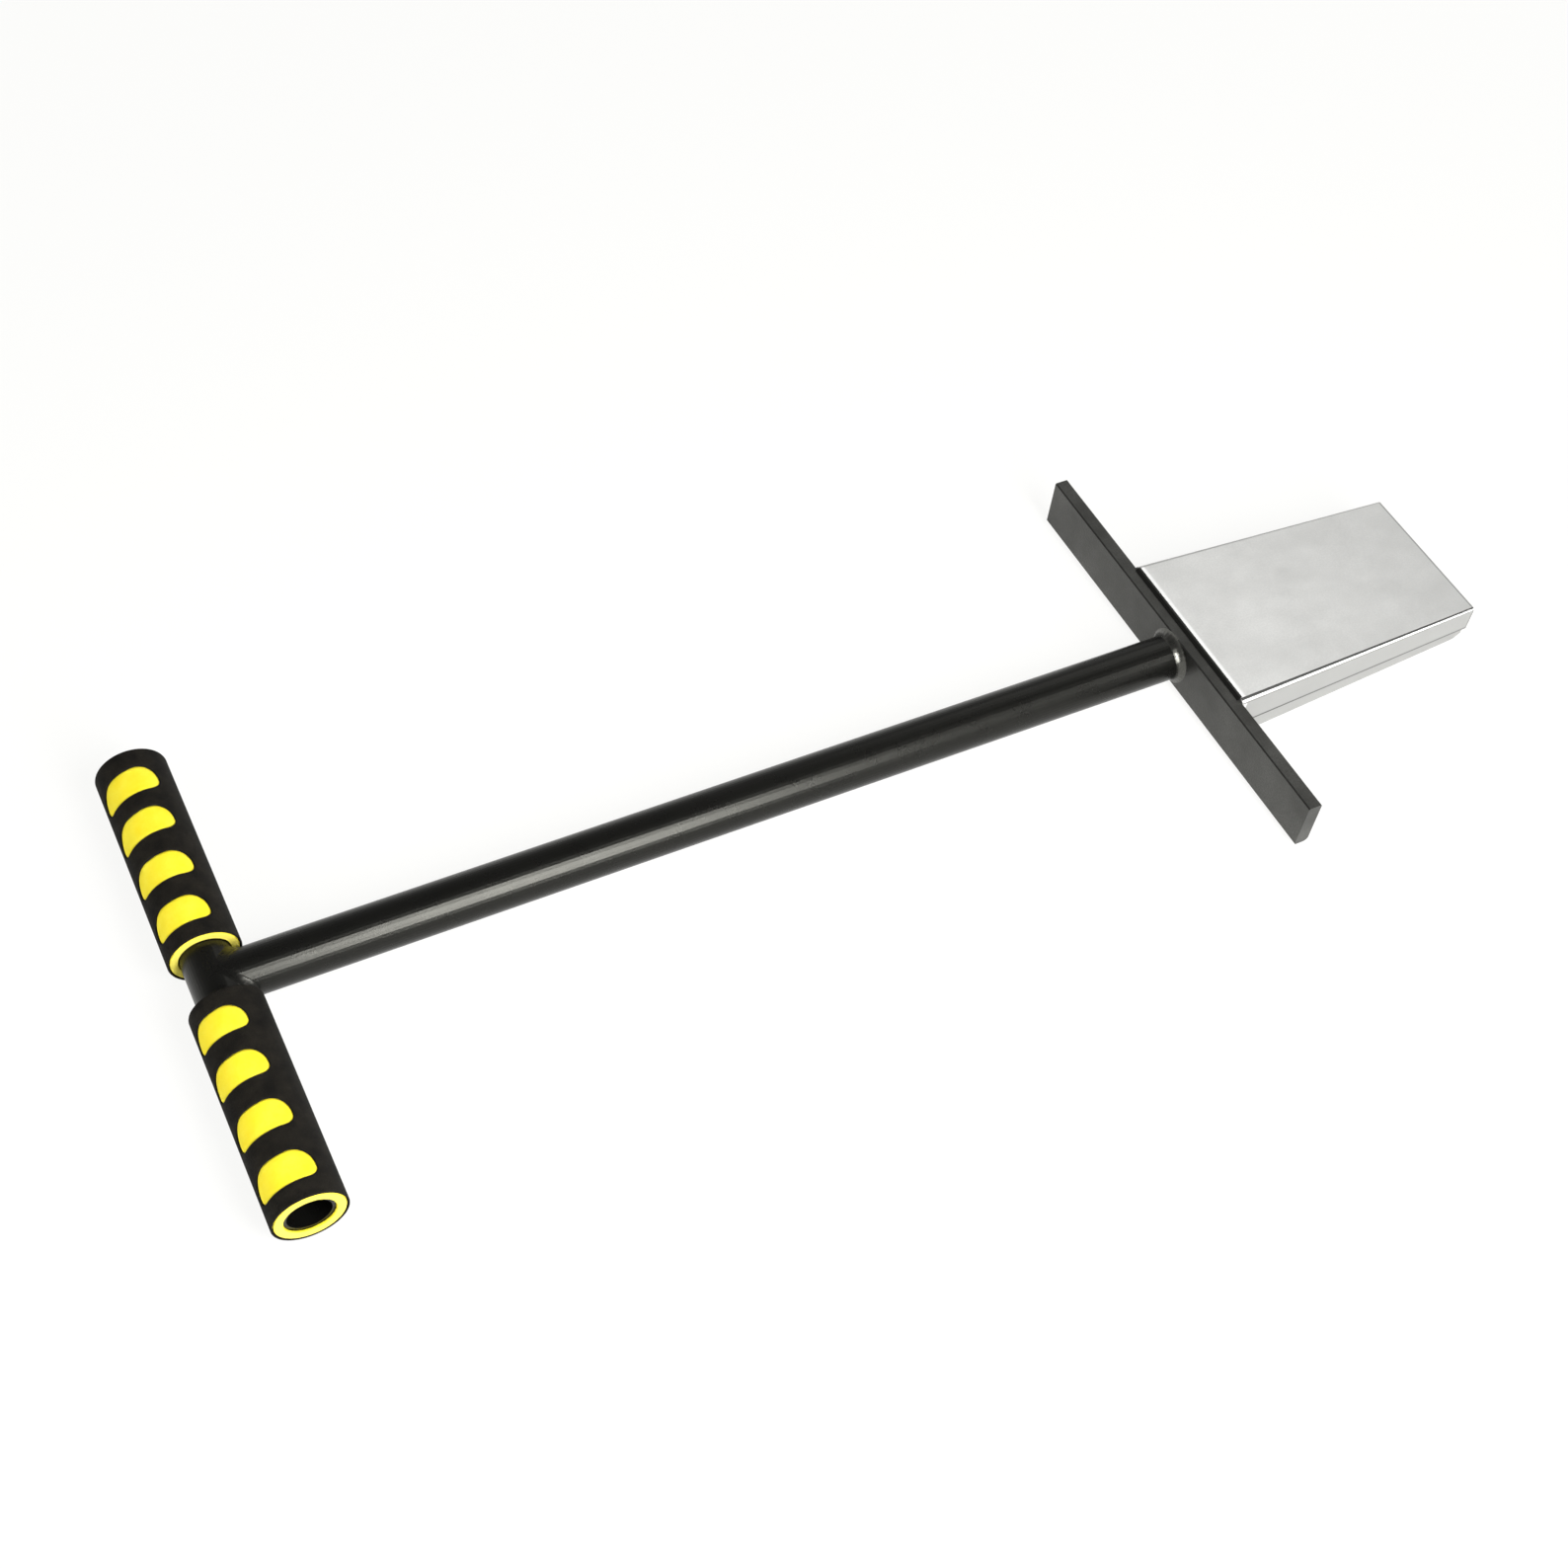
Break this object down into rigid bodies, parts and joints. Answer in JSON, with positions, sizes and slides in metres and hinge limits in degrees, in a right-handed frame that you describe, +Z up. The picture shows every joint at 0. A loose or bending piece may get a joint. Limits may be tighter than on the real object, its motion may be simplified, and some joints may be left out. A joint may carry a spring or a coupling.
{
  "type": "soil probe",
  "caption": "T-handled soil probe with foam grips, a foot bar and a flat box blade whose hinged door opens to show the slice of soil.",
  "frame": {"origin": "middle of the tool's outline as it lies, on the surface that it lies on", "axes": "+X along the shaft from the handle to the mouth of the blade, +Y along the handle and the foot bar, +Z up"},
  "size_m": [0.7228, 0.2668, 0.0374],
  "materials": {
    "black_steel": "satin powder coat",
    "yellow_foam": "closed cell foam, fine pored",
    "black_foam": "closed cell foam, matt",
    "stainless": "cold rolled, satin"
  },
  "bodies": {
    "tool": {"crossbar_tube": "black_steel", "shaft_tube": "black_steel", "handle_weld": "black_steel", "shaft_weld": "black_steel", "foot_bar": "black_steel", "blade_weld": "black_steel", "left_grip_sleeve": "yellow_foam", "left_grip_cover": "black_foam", "right_grip_sleeve": "yellow_foam", "right_grip_cover": "black_foam", "blade_shell": "stainless", "left_pivot_rivet": "stainless", "right_pivot_rivet": "stainless"},
    "door": {"blade_door": "stainless"}
  },
  "joints": [
    {"name": "door_hinge", "type": "hinge", "parent": "tool", "child": "door", "pos_m": [0.20665, -0.002, 0.0059], "axis": [0, 1, 0], "range_deg": [0, 90]}
  ]
}
